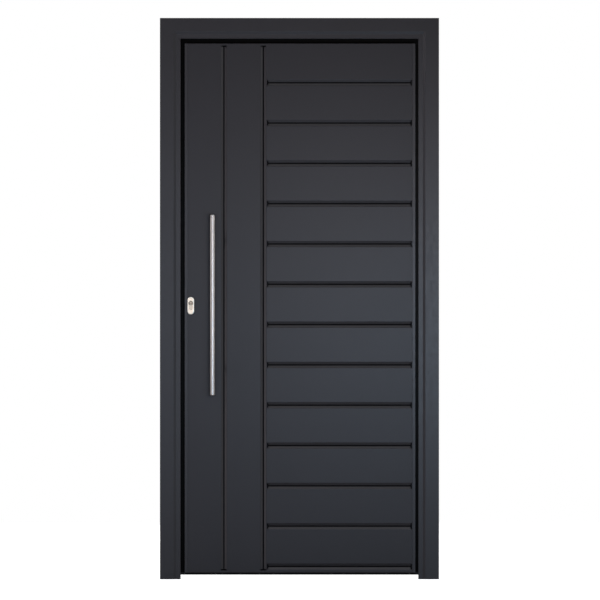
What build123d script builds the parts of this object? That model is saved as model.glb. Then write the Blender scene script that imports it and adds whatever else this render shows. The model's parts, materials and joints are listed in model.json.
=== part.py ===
from build123d import *
import os

# An entrance door of folded steel in its frame, with a milled board outside.
# Outside looks along -Y, the room side along +Y, Z is up, all sizes in millimetres.
# The origin is the floor-level corner of the wall opening on the hinge side:
# X = 0 is the wall side of the hinge jamb and Y = 0 is the outer face of the wall.

# Wall opening that the frame is built into
opening_width = 1000.0
opening_height = 2078.0

# Frame section, measured from the wall side inwards and from the wall face backwards
sheet = 2.0
wall_lap = 22.0
face_width = 77.0
face_flat = 51.0
bevel_run = 5.0
bevel_drop = 4.5
stop_depth = 26.0
jamb_width = 32.0
frame_back = 80.0
bend_radius = 1.2

# Frame fixings: an even row of anchor holes up each jamb and two in the head
anchor_hole_diameter = 11.0
anchor_count = 4
anchor_floor_distance = 210.0
anchor_head_distance = 188.0
head_anchor_spacing = 600.0

# Rubber seals on the back of the stop
seal_width = 12.0
seal_inset = 2.0
seal_base = 1.6
seal_height = 4.0
seal_bulb_radius = 1.7
seal_clearance = 0.5
seal_floor_gap = 3.0

# Gaps round the leaf, seen from outside and in the rebate
face_gap_hinge = 11.1
face_gap_lock = 15.5
face_gap_head = 18.2
rebate_gap_hinge = 5.5
rebate_gap_lock = 10.0
rebate_gap_head = 5.5
leaf_bottom = 24.6

# Leaf body, a filled steel cassette
leaf_back = 80.0
body_bend_radius = 1.5

# Milled board on the outside and the strips along its two long edges
board_front = 4.0
board_thickness = 16.0
board_edge_round = 0.8
strip_width = 10.5
strip_thickness = 2.0
strip_joint = 0.8
strip_bend_radius = 0.8

# Grooves of the board, placed from the board's lock-side edge and its top
groove_width = 22.8
groove_depth = 7.0
kerf_width = 1.6
kerf_depth = 1.8
lock_groove_offset = 146.8
middle_groove_offset = 294.5
upright_groove_margin = 7.5
slat_start_offset = 308.0
slat_end_margin = 13.3
slat_first_drop = 146.4
slat_pitch = 150.95
slat_groove_count = 13

# Inner board
inner_board_thickness = 8.0
inner_board_edge_round = 1.5
hinge_board_gap = 5.0
inner_border_lock = 16.0
inner_border_ends = 20.0

# Sweep under the leaf
sweep_bottom = 15.0
sweep_base = 3.0
sweep_lip = 3.0
sweep_front_inset = 1.5
sweep_depth = 30.0
sweep_side_inset = 2.0

# Hinges: drop-shaped barrels welded on the room side
hinge_end_distance = 225.0
barrel_radius = 9.0
barrel_length = 52.0
barrel_gap = 0.5
barrel_clearance = 0.5
barrel_seat = 20.0
hinge_pin_radius = 5.0
pin_fit_frame = 0.02
pin_fit_leaf = 0.05
pin_reach = 44.0
pin_end_room = 2.0

# Lock, placed from the board's lock-side edge
lock_offset = 23.0
cylinder_height = 1033.0
cylinder_radius = 8.5
cylinder_web = 10.0
cylinder_total = 33.0
cylinder_stand_out = 1.5
cylinder_clearance = 0.3
keyway_width = 2.4
keyway_height = 8.5
keyway_depth = 12.0

# Cover plates of the lock
escutcheon_width = 25.7
escutcheon_height = 66.0
escutcheon_thickness = 9.0
escutcheon_rim = 3.2
escutcheon_rim_drop = 2.4
escutcheon_drop = 9.5

# Edge plate, latch and deadbolt on the leaf, both drawn back flush and placed from the cylinder
edge_plate_width = 24.0
edge_plate_height = 240.0
edge_plate_thickness = 3.0
edge_plate_corner = 3.0
edge_plate_rise = 12.0
bolt_length = 22.0
bolt_clearance = 0.3
latch_width = 14.0
latch_height = 24.0
deadbolt_width = 14.0
deadbolt_height = 36.0
deadbolt_drop = 14.0

# Strike plate on the lock jamb
strike_thickness = 2.0
strike_width = 30.0
strike_height = 262.0
strike_corner = 6.0
strike_play = 2.0
jamb_hole_play = 3.0

# Pull bar outside
bar_offset = 105.0
bar_bottom = 689.0
bar_top = 1363.0
bar_radius = 8.75
bar_end_chamfer = 1.4
bar_stand_off = 55.0
bar_post_radius = 7.0
bar_post_inset = 100.0
bar_seat_clearance = 0.05

# Lever and turn inside, the lever placed from the cylinder
lever_rise = 85.0
rose_radius = 26.0
rose_thickness = 8.0
lever_neck_radius = 9.0
lever_neck_length = 46.0
lever_grip_radius = 9.5
lever_grip_length = 125.0
lever_end_chamfer = 1.5
turn_width = 12.0
turn_height = 30.0
turn_depth = 18.0
turn_round = 3.0

# Reach of drills beyond a surface and how near a point counts as a named corner
overcut = 5.0
near = 0.001

# Values worked out from the sizes above
lip = face_width - wall_lap
board_lock_edge = -opening_width + lip + face_gap_lock
board_hinge_edge = -lip - face_gap_hinge
board_top = opening_height - lip - face_gap_head
body_front = stop_depth + seal_height + seal_clearance
body_lock_edge = -opening_width + jamb_width + rebate_gap_lock
body_hinge_edge = -jamb_width - rebate_gap_hinge
body_top = opening_height - jamb_width - rebate_gap_head
board_back = board_front + board_thickness
inner_face = leaf_back + inner_board_thickness
lock_x = board_lock_edge + lock_offset
lever_height = cylinder_height + lever_rise
edge_plate_centre = cylinder_height + edge_plate_rise
mid_depth = (body_front + leaf_back) / 2
anchor_depth = (stop_depth + frame_back) / 2
hinge_x = -jamb_width - rebate_gap_hinge / 2
hinge_y = frame_back + barrel_clearance + barrel_radius
hinge_heights = {
    "lower": leaf_bottom + hinge_end_distance,
    "middle": (leaf_bottom + body_top) / 2,
    "upper": body_top - hinge_end_distance,
}

# Planes: local X and Y run across and into each section, local Z along the piece
hinge_jamb_plane = Plane(origin=(0, 0, opening_height + wall_lap), x_dir=(-1, 0, 0), z_dir=(0, 0, -1))
lock_jamb_plane = Plane(origin=(-opening_width, 0, 0), x_dir=(1, 0, 0), z_dir=(0, 0, 1))
head_plane = Plane(origin=(-opening_width - wall_lap, 0, opening_height), x_dir=(0, 0, -1), z_dir=(1, 0, 0))
hinge_mitre = Plane(origin=(0, 0, opening_height), x_dir=(0, 1, 0), z_dir=(-1, 0, 1))
lock_mitre = Plane(origin=(-opening_width, 0, opening_height), x_dir=(0, 1, 0), z_dir=(1, 0, 1))


def outside_plane(x, y, z):
    """A sketch plane that faces the outside, with X to the right and Z up in it."""
    return Plane(origin=(x, y, z), x_dir=(1, 0, 0), z_dir=(0, -1, 0))


def inside_plane(x, y, z):
    """A sketch plane that faces the room."""
    return Plane(origin=(x, y, z), x_dir=(-1, 0, 0), z_dir=(0, 1, 0))


def block(x_range, y_range, z_range):
    """A box between two values on each axis."""
    size = [high - low for low, high in (x_range, y_range, z_range)]
    centre = [(high + low) / 2 for low, high in (x_range, y_range, z_range)]
    return Pos(*centre) * Box(*size)


def outline(points):
    """A flat face inside a closed outline."""
    return make_face(Polyline(*points, close=True))


def round_corners(face, corners, radius):
    """The face with the named corners rounded."""
    chosen = [v for v in face.vertices() if any(abs(v.X - x) + abs(v.Y - y) < near for x, y in corners)]
    return fillet(chosen, radius)


def run(face, plane, length):
    """A section drawn in XY, set on a plane and run along it."""
    return extrude(plane * face, length, dir=plane.z_dir)


def tube_section():
    """The closed box section of jambs and head with its stop, without the wall lap."""
    flat_end = face_flat - wall_lap
    return [
        (0, -sheet),
        (flat_end, -sheet),
        (flat_end + bevel_run, bevel_drop - sheet),
        (lip, bevel_drop - sheet),
        (lip, stop_depth),
        (jamb_width, stop_depth),
        (jamb_width, frame_back),
        (0, frame_back),
    ]


def frame_section():
    """Folded steel section: closed tube, bevelled front face and the lap over the wall."""
    corners = tube_section()
    tube = outline(corners)
    hollow = offset(tube, -sheet, kind=Kind.INTERSECTION)
    lap = outline([(-wall_lap, -sheet), (0, -sheet), (0, 0), (-wall_lap, 0)])
    solid_face = tube + lap
    bends = corners[1:5]
    solid_face = round_corners(solid_face, bends, bend_radius)
    return solid_face - hollow


def anchor_holes(plane, positions):
    """Drills for the anchors, straight through both walls of a frame member."""
    drills = []
    for place in positions:
        centre = plane.from_local_coords((-overcut, anchor_depth, place))
        drill_plane = Plane(origin=centre, z_dir=plane.x_dir)
        drills.append(run(Circle(anchor_hole_diameter / 2), drill_plane, jamb_width + 2 * overcut))
    return drills


def anchor_heights():
    """Heights of the anchors in each jamb, evenly spread."""
    spread = opening_height - anchor_head_distance - anchor_floor_distance
    step = spread / (anchor_count - 1)
    return [anchor_floor_distance + index * step for index in range(anchor_count)]


def hinge_jamb():
    """Right-hand jamb seen from outside."""
    height = opening_height + wall_lap
    member = run(frame_section(), hinge_jamb_plane, height)
    member = split(member, bisect_by=hinge_mitre, keep=Keep.BOTTOM)
    return member - anchor_holes(hinge_jamb_plane, [height - z for z in anchor_heights()])


def bolt_sections(play):
    """Outlines of deadbolt and latch in a plane across the leaf's edge, X along the depth."""
    deadbolt = Rectangle(deadbolt_width + 2 * play, deadbolt_height + 2 * play)
    latch_face = Rectangle(latch_width + 2 * play, latch_height + 2 * play)
    return [Pos(0, cylinder_height - deadbolt_drop) * deadbolt, Pos(0, lever_height) * latch_face]


def edge_plane(x):
    """A plane across the lock edge at one X, its local X along the depth, facing the lock jamb."""
    return Plane(origin=(x, mid_depth, 0), x_dir=(0, -1, 0), z_dir=(-1, 0, 0))


def lock_jamb():
    """Left-hand jamb seen from outside, with the holes that take latch and deadbolt."""
    height = opening_height + wall_lap
    member = run(frame_section(), lock_jamb_plane, height)
    member = split(member, bisect_by=lock_mitre, keep=Keep.BOTTOM)
    member -= anchor_holes(lock_jamb_plane, anchor_heights())
    inner_wall = edge_plane(-opening_width + jamb_width + overcut)
    for face in bolt_sections(jamb_hole_play):
        member -= run(face, inner_wall, 2 * overcut)
    return member


def head():
    """Top member of the frame, mitred into both jambs."""
    length = opening_width + 2 * wall_lap
    member = run(frame_section(), head_plane, length)
    member = split(member, bisect_by=hinge_mitre, keep=Keep.TOP)
    member = split(member, bisect_by=lock_mitre, keep=Keep.TOP)
    middle = length / 2
    places = [middle - head_anchor_spacing / 2, middle + head_anchor_spacing / 2]
    return member - anchor_holes(head_plane, places)


def seal_section():
    """Rubber seal: a flat base and two round bulbs."""
    inner = lip - seal_inset
    outer = inner - seal_width
    back = stop_depth
    base = outline([(outer, back), (inner, back), (inner, back + seal_base), (outer, back + seal_base)])
    bulb_y = back + seal_height - seal_bulb_radius
    for place in (outer + seal_width / 4, inner - seal_width / 4):
        base += Pos(place, bulb_y) * Circle(seal_bulb_radius)
    return base


def jamb_seal(plane, mitre, start):
    """A seal up one jamb, cut to the mitre at the top."""
    piece = run(seal_section(), plane, opening_height + wall_lap)
    piece = split(piece, bisect_by=mitre, keep=Keep.BOTTOM)
    return split(piece, bisect_by=Plane(origin=(0, 0, start), z_dir=(0, 0, 1)), keep=Keep.TOP)


def head_seal():
    """The seal across the head."""
    piece = run(seal_section(), head_plane, opening_width + 2 * wall_lap)
    piece = split(piece, bisect_by=hinge_mitre, keep=Keep.TOP)
    return split(piece, bisect_by=lock_mitre, keep=Keep.TOP)


def strike_plate():
    """Strike plate on the rebate of the lock jamb."""
    plate = Pos(0, edge_plate_centre) * RectangleRounded(strike_width, strike_height, strike_corner)
    for face in bolt_sections(strike_play):
        plate -= face
    return run(plate, edge_plane(-opening_width + jamb_width + strike_thickness), strike_thickness)


def cylinder_section(play):
    """Outline of the lock cylinder: a round barrel on a narrower web, seen from outside."""
    foot = cylinder_web / 2
    drop = cylinder_total - cylinder_radius - foot
    section = Circle(cylinder_radius + play)
    section += Pos(0, -drop / 2) * Rectangle(cylinder_web + 2 * play, drop)
    section += Pos(0, -drop) * Circle(foot + play)
    return section


def cylinder_drill():
    """The passage that the lock cylinder needs through the leaf."""
    start = outside_plane(lock_x, inner_face + escutcheon_thickness + overcut, cylinder_height)
    length = inner_face - board_front + 2 * (escutcheon_thickness + overcut)
    return run(cylinder_section(cylinder_clearance), start, length)


def leaf_body():
    """Steel cassette of the leaf with its narrower front step and the pockets in its lock edge."""
    wide = block((body_lock_edge, body_hinge_edge), (body_front, leaf_back), (leaf_bottom, body_top))
    wide = fillet(wide.edges().filter_by(Axis.Z), body_bend_radius)
    step_x = (board_lock_edge + strip_thickness, board_hinge_edge - strip_thickness)
    body = wide + block(step_x, (board_back, body_front), (leaf_bottom, board_top))
    plate = Pos(0, edge_plate_centre) * RectangleRounded(edge_plate_width, edge_plate_height, edge_plate_corner)
    body -= run(plate, edge_plane(body_lock_edge + edge_plate_thickness), edge_plate_thickness + overcut)
    for face in bolt_sections(bolt_clearance):
        body -= run(face, edge_plane(body_lock_edge + bolt_length), bolt_length)
    return body - cylinder_drill()


def groove_section(start_y):
    """V groove with a narrow kerf at its bottom, drawn with X into the board and Y across it."""
    half = groove_width / 2
    kerf = kerf_width / 2
    bottom = start_y + groove_depth
    return outline([
        (start_y - overcut, half),
        (start_y, half),
        (bottom, kerf),
        (bottom + kerf_depth, kerf),
        (bottom + kerf_depth, -kerf),
        (bottom, -kerf),
        (start_y, -half),
        (start_y - overcut, -half),
    ])


def slat_groove(z):
    """One horizontal groove at a height."""
    start = board_lock_edge + slat_start_offset
    length = board_hinge_edge - slat_end_margin - start
    plane = Plane(origin=(start, 0, z), x_dir=(0, 1, 0), z_dir=(1, 0, 0))
    return run(groove_section(board_front), plane, length)


def upright_groove(offset_from_edge):
    """One vertical groove, stopped short of the board's ends."""
    bottom = leaf_bottom + upright_groove_margin
    length = board_top - upright_groove_margin - bottom
    x = board_lock_edge + offset_from_edge
    plane = Plane(origin=(x, 0, bottom), x_dir=(0, 1, 0), z_dir=(0, 0, 1))
    return run(groove_section(board_front), plane, length)


def outer_board():
    """Milled board: two upright grooves and a field of level grooves, rebated for the edge strips."""
    x_range = (board_lock_edge + strip_thickness, board_hinge_edge - strip_thickness)
    board = block(x_range, (board_front, board_back), (leaf_bottom, board_top))
    ends = board.edges().filter_by(Axis.X).group_by(Axis.Y)[0]
    board = fillet(ends, board_edge_round)
    rebate = strip_width + strip_joint
    rebate_y = (board_front - overcut, board_front + strip_thickness)
    z_range = (leaf_bottom - overcut, board_top + overcut)
    board -= block((board_lock_edge, board_lock_edge + rebate), rebate_y, z_range)
    board -= block((board_hinge_edge - rebate, board_hinge_edge), rebate_y, z_range)
    for index in range(slat_groove_count):
        board -= slat_groove(board_top - slat_first_drop - index * slat_pitch)
    for place in (lock_groove_offset, middle_groove_offset):
        board -= upright_groove(place)
    return board - cylinder_drill()


def edge_strip(edge, inward):
    """Folded strip over one long edge of the board, inward is +1 or -1 along X."""
    face_end = edge + inward * strip_width
    side_end = edge + inward * strip_thickness
    face_back = board_front + strip_thickness
    corners = [
        (edge, board_front),
        (face_end, board_front),
        (face_end, face_back),
        (side_end, face_back),
        (side_end, body_front),
        (edge, body_front),
    ]
    section = round_corners(outline(corners), corners[:1], strip_bend_radius)
    plane = Plane(origin=(0, 0, leaf_bottom), x_dir=(1, 0, 0), z_dir=(0, 0, 1))
    return run(section, plane, board_top - leaf_bottom)


def inner_board():
    """Plain board on the room side."""
    x_range = (body_lock_edge + inner_border_lock, body_hinge_edge - barrel_seat - hinge_board_gap)
    z_range = (leaf_bottom + inner_border_ends, body_top - inner_border_ends)
    board = block(x_range, (leaf_back, inner_face), z_range)
    front_edges = board.faces().sort_by(Axis.Y)[-1].edges()
    return chamfer(front_edges, inner_board_edge_round) - cylinder_drill()


def bottom_sweep():
    """Rubber sweep under the leaf: a base and three lips."""
    front = body_front + sweep_front_inset
    back = front + sweep_depth
    base_bottom = leaf_bottom - sweep_base
    section = outline([(front, leaf_bottom), (back, leaf_bottom), (back, base_bottom), (front, base_bottom)])
    for place in (front, (front + back - sweep_lip) / 2, back - sweep_lip):
        section += outline([
            (place, base_bottom),
            (place + sweep_lip, base_bottom),
            (place + sweep_lip, sweep_bottom),
            (place, sweep_bottom),
        ])
    start = body_lock_edge + sweep_side_inset
    plane = Plane(origin=(start, 0, 0), x_dir=(0, 1, 0), z_dir=(1, 0, 0))
    return run(section, plane, body_hinge_edge - sweep_side_inset - start)


def barrel(low, edge, towards):
    """A drop-shaped barrel, seated on a back face from an edge on, towards is +1 or -1 along X."""
    seat = Line((edge, frame_back), (edge + towards * barrel_seat, frame_back))
    ring = Pos(hinge_x, hinge_y) * Circle(barrel_radius)
    drop = make_hull([*ring.edges(), seat])
    return run(drop, Plane(origin=(0, 0, low), x_dir=(1, 0, 0), z_dir=(0, 0, 1)), barrel_length)


def pin_bore(low, fit, length):
    """Room for the hinge pin from one height up, with its play."""
    plane = Plane(origin=(hinge_x, hinge_y, low), x_dir=(1, 0, 0), z_dir=(0, 0, 1))
    return run(Circle(hinge_pin_radius + fit), plane, length)


def frame_hinge(centre):
    """Lower half of a hinge, on the frame, bored right through for its pin."""
    low = centre - barrel_gap / 2 - barrel_length
    return barrel(low, -jamb_width, 1) - pin_bore(low, pin_fit_frame, barrel_length)


def leaf_hinge(centre):
    """Upper half of a hinge, on the leaf, bored from below and closed above."""
    low = centre + barrel_gap / 2
    return barrel(low, body_hinge_edge, -1) - pin_bore(low, pin_fit_leaf, pin_reach + pin_end_room)


def hinge_pin(centre):
    """The pin that stands in the frame's half."""
    low = centre - barrel_gap / 2 - barrel_length
    return pin_bore(low, 0, barrel_length + barrel_gap + pin_reach)


def lock_cylinder():
    """The lock cylinder from outside to inside, with its keyway."""
    start = outside_plane(lock_x, inner_face + escutcheon_thickness + cylinder_stand_out, cylinder_height)
    length = inner_face - board_front + 2 * (escutcheon_thickness + cylinder_stand_out)
    body = run(cylinder_section(0), start, length)
    front = board_front - escutcheon_thickness - cylinder_stand_out
    keyway = Rectangle(keyway_height, keyway_width)
    return body - run(keyway, outside_plane(lock_x, front + keyway_depth, cylinder_height), keyway_depth + overcut)


def escutcheon(plane):
    """Long round-ended cover plate with its front edge rounded."""
    plate = run(SlotOverall(escutcheon_height, escutcheon_width, rotation=90), plane, escutcheon_thickness)
    face = plate.faces().sort_by(Axis((0, 0, 0), plane.z_dir))[-1]
    return chamfer(face.edges(), escutcheon_rim_drop, escutcheon_rim, reference=face) - cylinder_drill()


def edge_plate():
    """Plate in the leaf's lock edge with the bolt holes."""
    plate = Pos(0, edge_plate_centre) * RectangleRounded(edge_plate_width, edge_plate_height, edge_plate_corner)
    for face in bolt_sections(bolt_clearance):
        plate -= face
    return run(plate, edge_plane(body_lock_edge + edge_plate_thickness), edge_plate_thickness)


def drawn_back_bolts():
    """Deadbolt and latch, drawn back flush with the edge plate."""
    return [run(face, edge_plane(body_lock_edge + bolt_length), bolt_length) for face in bolt_sections(0)]


def pull_bar():
    """Long round bar."""
    centre = (board_lock_edge + bar_offset, board_front - bar_stand_off, bar_bottom)
    bar = run(Circle(bar_radius), Plane(origin=centre, z_dir=(0, 0, 1)), bar_top - bar_bottom)
    return chamfer(bar.edges().filter_by(GeomType.CIRCLE), bar_end_chamfer)


def pull_bar_post(z):
    """Post from the board to the bar, hollowed to sit round the bar."""
    x = board_lock_edge + bar_offset
    post = run(Circle(bar_post_radius), outside_plane(x, board_front, z), bar_stand_off)
    bar_y = board_front - bar_stand_off
    low = z - bar_post_radius - overcut
    hollow = Plane(origin=(x, bar_y, low), z_dir=(0, 0, 1))
    length = 2 * (bar_post_radius + overcut)
    return post - run(Circle(bar_radius + bar_seat_clearance), hollow, length)


def inner_rose():
    """Round cover of the lever."""
    return run(Circle(rose_radius), inside_plane(lock_x, inner_face, lever_height), rose_thickness)


def inner_lever():
    """Lever: a neck out of the rose and a round grip towards the hinges."""
    neck_start = inner_face + rose_thickness
    neck = run(Circle(lever_neck_radius), inside_plane(lock_x, neck_start, lever_height), lever_neck_length)
    grip_start = (lock_x - lever_neck_radius, neck_start + lever_neck_length, lever_height)
    grip = run(Circle(lever_grip_radius), Plane(origin=grip_start, z_dir=(1, 0, 0)), lever_grip_length)
    grip = chamfer(grip.edges().filter_by(GeomType.CIRCLE), lever_end_chamfer)
    return grip + neck


def thumb_turn():
    """Turn on the room end of the lock cylinder."""
    start = inner_face + escutcheon_thickness + cylinder_stand_out
    turn = run(Rectangle(turn_width, turn_height), inside_plane(lock_x, start, cylinder_height), turn_depth)
    return fillet(turn.edges().filter_by(Axis.Y), turn_round)


def parts():
    """Every node by name."""
    deadbolt, latch = drawn_back_bolts()
    nodes = {
        "hinge_jamb": hinge_jamb(),
        "lock_jamb": lock_jamb(),
        "head": head(),
        "hinge_seal": jamb_seal(hinge_jamb_plane, hinge_mitre, seal_floor_gap),
        "lock_seal": jamb_seal(lock_jamb_plane, lock_mitre, seal_floor_gap),
        "head_seal": head_seal(),
        "strike_plate": strike_plate(),
        "leaf_body": leaf_body(),
        "outer_board": outer_board(),
        "lock_edge_strip": edge_strip(board_lock_edge, 1),
        "hinge_edge_strip": edge_strip(board_hinge_edge, -1),
        "inner_board": inner_board(),
        "bottom_sweep": bottom_sweep(),
        "pull_bar": pull_bar(),
        "pull_bar_upper_post": pull_bar_post(bar_top - bar_post_inset),
        "pull_bar_lower_post": pull_bar_post(bar_bottom + bar_post_inset),
        "lock_cylinder": lock_cylinder(),
        "edge_plate": edge_plate(),
        "latch": latch,
        "deadbolt": deadbolt,
        "inner_rose": inner_rose(),
        "inner_lever": inner_lever(),
        "thumb_turn": thumb_turn(),
    }
    cover_height = cylinder_height - escutcheon_drop
    nodes["outer_escutcheon"] = escutcheon(outside_plane(lock_x, board_front, cover_height))
    nodes["inner_escutcheon"] = escutcheon(inside_plane(lock_x, inner_face, cover_height))
    for name, height in hinge_heights.items():
        nodes[f"frame_hinge_{name}"] = frame_hinge(height)
        nodes[f"leaf_hinge_{name}"] = leaf_hinge(height)
        nodes[f"hinge_pin_{name}"] = hinge_pin(height)
    return nodes


os.makedirs("parts", exist_ok=True)
for name, shape in parts().items():
    export_step(shape, f"parts/{name}.step")
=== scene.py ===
import json
import math

import bmesh
import bpy
from bpy.props import FloatProperty, FloatVectorProperty, IntProperty, PointerProperty
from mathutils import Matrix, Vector


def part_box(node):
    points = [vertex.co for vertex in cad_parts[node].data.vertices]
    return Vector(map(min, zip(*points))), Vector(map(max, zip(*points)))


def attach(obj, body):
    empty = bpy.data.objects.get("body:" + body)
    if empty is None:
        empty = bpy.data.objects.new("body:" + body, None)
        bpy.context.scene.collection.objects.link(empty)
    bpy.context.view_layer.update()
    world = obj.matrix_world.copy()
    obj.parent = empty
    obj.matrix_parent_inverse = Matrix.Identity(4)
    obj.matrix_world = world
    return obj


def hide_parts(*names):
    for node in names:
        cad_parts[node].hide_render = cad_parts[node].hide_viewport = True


bl_info = {
    "name": "Entrance Door",
    "version": (1, 0, 0),
    "blender": (4, 5, 0),
    "location": "3D View > Sidebar > Entrance Door",
    "description": "Dresses the packed entrance door with its board, fittings, finishes and studio",
    "category": "Object",
}

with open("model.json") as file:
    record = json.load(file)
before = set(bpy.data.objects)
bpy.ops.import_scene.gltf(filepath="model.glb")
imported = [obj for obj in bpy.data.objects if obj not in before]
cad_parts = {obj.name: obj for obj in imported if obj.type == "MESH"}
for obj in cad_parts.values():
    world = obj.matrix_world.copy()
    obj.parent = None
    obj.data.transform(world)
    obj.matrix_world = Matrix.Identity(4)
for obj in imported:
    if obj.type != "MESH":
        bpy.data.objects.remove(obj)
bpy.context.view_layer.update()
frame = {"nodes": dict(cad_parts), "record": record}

X, Y, Z = 0, 1, 2
MERGE = 0.00001  # points closer than this are one
NEAR = 0.00005  # places closer than this are the same
FACING = 0.99  # least cosine between a face's normal and the way that it looks
ALONG = 0.999  # least share of an edge's length that lies on the axis that it runs along
OUTSIDE, INSIDE = (0, -1, 0), (0, 1, 0)  # the ways to the street and to the room
FLAT_ANGLE = math.radians(0.4)  # flatter edges are dissolved in a copy of a frame node
FOLD_ANGLE = math.radians(15)  # sharper edges are a piece's own
CORNER_ANGLE = math.radians(30)  # sharper edges of sheets and barrels are rounded
SMOOTH_ANGLE = math.radians(32)  # flatter edges are shaded smooth
FRAME_MEMBERS = ("hinge_jamb", "lock_jamb", "head")
SLOTS = {part["node"]: part["material_slot"] for part in frame["record"]["subparts"]}
BODIES = {node: body for body, nodes in frame["record"]["behaviour"]["bodies"].items() for node in nodes}


# Sizes and colours that a user would change

class BoardSizes(bpy.types.PropertyGroup):
    """Sizes of the milled board outside."""

    groove_width: FloatProperty(
        name="Groove width", description="Width of each V groove at the face",
        default=0.0228, unit="LENGTH")
    groove_depth: FloatProperty(
        name="Groove depth", description="Depth of the V from the face", default=0.007, unit="LENGTH")
    kerf_width: FloatProperty(
        name="Kerf width", description="Width of the slot at the bottom of the V",
        default=0.0016, unit="LENGTH")
    kerf_depth: FloatProperty(
        name="Kerf depth", description="Depth of the slot below the V", default=0.0018, unit="LENGTH")
    rim_round: FloatProperty(
        name="Rim round", description="Softening of the groove's rims under the film",
        default=0.0012, unit="LENGTH")
    end_flare: FloatProperty(
        name="End flare", description="Length over which a groove opens at its ends",
        default=0.006, unit="LENGTH")
    slat_pitch: FloatProperty(
        name="Slat pitch", description="Height from one level groove to the next",
        default=0.15095, unit="LENGTH")
    slat_first_drop: FloatProperty(
        name="First drop", description="Top of the board to the first level groove",
        default=0.1464, unit="LENGTH")
    slat_count: IntProperty(
        name="Level grooves", description="Number of level grooves", default=13, min=1)
    slat_start: FloatProperty(
        name="Slat start", description="Lock-side edge to the level grooves", default=0.308, unit="LENGTH")
    slat_end_margin: FloatProperty(
        name="Slat margin", description="Level grooves to the hinge-side edge",
        default=0.0133, unit="LENGTH")
    lock_groove: FloatProperty(
        name="Lock groove", description="Lock-side edge to the first upright groove",
        default=0.1468, unit="LENGTH")
    middle_groove: FloatProperty(
        name="Middle groove", description="Lock-side edge to the second upright groove",
        default=0.2945, unit="LENGTH")
    upright_margin: FloatProperty(
        name="Upright margin", description="Upright grooves to the board's ends",
        default=0.0075, unit="LENGTH")
    strip_thickness: FloatProperty(
        name="Strip thickness", description="Thickness of the edge strips", default=0.002, unit="LENGTH")
    strip_cover: FloatProperty(
        name="Strip cover", description="Face width of an edge strip with its joint",
        default=0.0113, unit="LENGTH")


class FittingSizes(bpy.types.PropertyGroup):
    """Sizes of the fittings' finer forms."""

    bar_end_round: FloatProperty(
        name="Bar end round", description="Rounding of the pull bar's ends", default=0.0032, unit="LENGTH")
    cover_rim: FloatProperty(
        name="Cover rim", description="Width of the rounded rim of a lock cover",
        default=0.0036, unit="LENGTH")
    cover_field_drop: FloatProperty(
        name="Field drop", description="Depth of the field inside the rim", default=0.0008, unit="LENGTH")
    profile_play: FloatProperty(
        name="Profile play", description="Gap between the cover and the cylinder",
        default=0.0006, unit="LENGTH")
    profile_dish: FloatProperty(
        name="Profile dish", description="Dished rim of the cover round the cylinder",
        default=0.0014, unit="LENGTH")
    plug_radius: FloatProperty(
        name="Plug radius", description="Radius of the cylinder's plug", default=0.0050, unit="LENGTH")
    plug_ring: FloatProperty(
        name="Plug ring", description="Width of the ring turned round the plug",
        default=0.0020, unit="LENGTH")
    elbow_radius: FloatProperty(
        name="Elbow radius", description="Bend of the lever from neck to grip",
        default=0.016, unit="LENGTH")
    screw_radius: FloatProperty(
        name="Screw radius", description="Radius of the countersunk screw heads",
        default=0.0042, unit="LENGTH")
    screw_depth: FloatProperty(
        name="Screw depth", description="Depth of the countersunk screw heads",
        default=0.0016, unit="LENGTH")
    screw_inset: FloatProperty(
        name="Screw inset", description="End of a plate to its screw", default=0.0125, unit="LENGTH")
    step_place: FloatProperty(
        name="Step place", description="Outline of the frame to the step in its face",
        default=0.0557, unit="LENGTH")
    step_ease: FloatProperty(
        name="Step ease", description="Extra width of the slope at the step", default=0.004, unit="LENGTH")
    fold_round: FloatProperty(
        name="Edge round", description="Rounding of sheet and plate edges", default=0.0004, unit="LENGTH")


class FinishColours(bpy.types.PropertyGroup):
    """Colours of the finishes, as linear values."""

    paint: FloatVectorProperty(
        name="Paint", description="Anthracite powder coat",
        subtype="COLOR", default=(0.0160, 0.0142, 0.0166))
    film: FloatVectorProperty(
        name="Film", description="Anthracite film of the boards",
        subtype="COLOR", default=(0.0160, 0.0142, 0.0166))
    rubber: FloatVectorProperty(
        name="Rubber", description="Seals and sweep", subtype="COLOR", default=(0.0065, 0.0065, 0.0070))
    stainless: FloatVectorProperty(
        name="Stainless", description="Bar, lever and rose", subtype="COLOR", default=(0.46, 0.43, 0.405))
    nickel: FloatVectorProperty(
        name="Nickel", description="Lock covers and cylinder", subtype="COLOR", default=(1.0, 0.83, 0.645))
    # bright nickel is lighter than the plating: a painted highlight on the buffed rims
    bright_nickel: FloatVectorProperty(
        name="Bright nickel", description="Buffed rims of the lock covers",
        subtype="COLOR", default=(1.0, 0.97, 0.86))
    zinc: FloatVectorProperty(
        name="Zinc", description="Plates, bolts and pins", subtype="COLOR", default=(0.55, 0.56, 0.58))


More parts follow.
